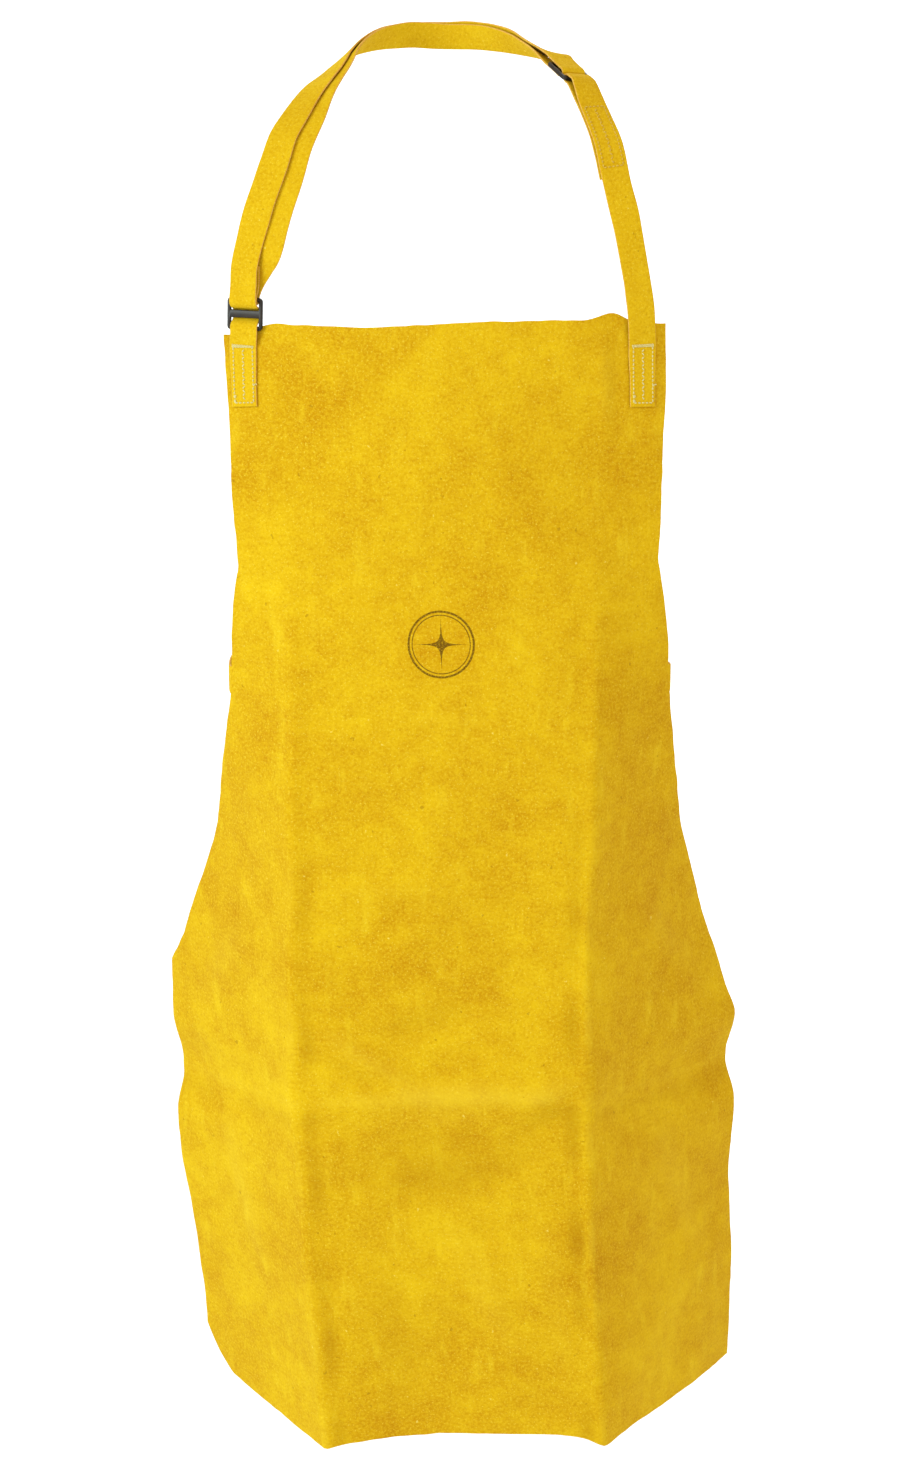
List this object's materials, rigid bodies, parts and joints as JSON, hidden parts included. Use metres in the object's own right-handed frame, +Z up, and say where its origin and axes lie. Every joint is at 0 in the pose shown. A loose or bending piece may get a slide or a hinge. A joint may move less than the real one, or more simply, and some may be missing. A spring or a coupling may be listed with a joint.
{
  "type": "welding apron",
  "caption": "Split-leather bib apron in its worn shape, with neck strap and slides, and a waist belt with a side-release buckle.",
  "frame": {"origin": "middle of the neck strap where it rests on the back of the wearer's neck", "axes": "+Z up, the front of the apron faces -Y, +X to the right seen from the front"},
  "size_m": [0.4905, 0.2435, 1.1392],
  "materials": {
    "hide": "golden yellow suede split, matt",
    "strap_hide": "golden yellow suede split, matt",
    "black_plastic": "black moulded acetal, satin",
    "thread": "cream sewing thread"
  },
  "bodies": {
    "apron": {"apron_body": "hide", "neck_strap": "strap_hide", "shoulder_strap": "strap_hide", "neck_strap_corner_seam": "thread", "shoulder_strap_corner_seam": "thread", "shoulder_strap_fold_seam": "thread", "waist_strap_left": "strap_hide", "waist_strap_right": "strap_hide", "waist_seam_left": "thread", "waist_seam_right": "thread", "waist_strap_end_seam": "thread", "buckle_socket": "black_plastic", "waist_keeper": "strap_hide"},
    "neck_adjuster": {"neck_adjuster": "black_plastic", "neck_strap_end_seam": "thread"},
    "shoulder_slide": {"shoulder_slide": "black_plastic"},
    "buckle_plug": {"buckle_plug": "black_plastic"}
  },
  "joints": [
    {"name": "neck_adjust", "type": "slide", "parent": "apron", "child": "neck_adjuster", "axis": [0.03, 0, 0.9995], "range_m": [0, 0.025], "deforming": ["neck_strap"]},
    {"name": "shoulder_slide_tilt", "type": "hinge", "parent": "apron", "child": "shoulder_slide", "pos_m": [0.1, -0.0845, -0.0365], "axis": [0.8, 0.6, 0], "range_deg": [-12, 12], "deforming": ["neck_strap"]},
    {"name": "buckle_release", "type": "slide", "parent": "apron", "child": "buckle_plug", "axis": [1, 0, 0], "range_m": [0, 0.032], "deforming": ["waist_strap_right", "buckle_plug"]}
  ]
}
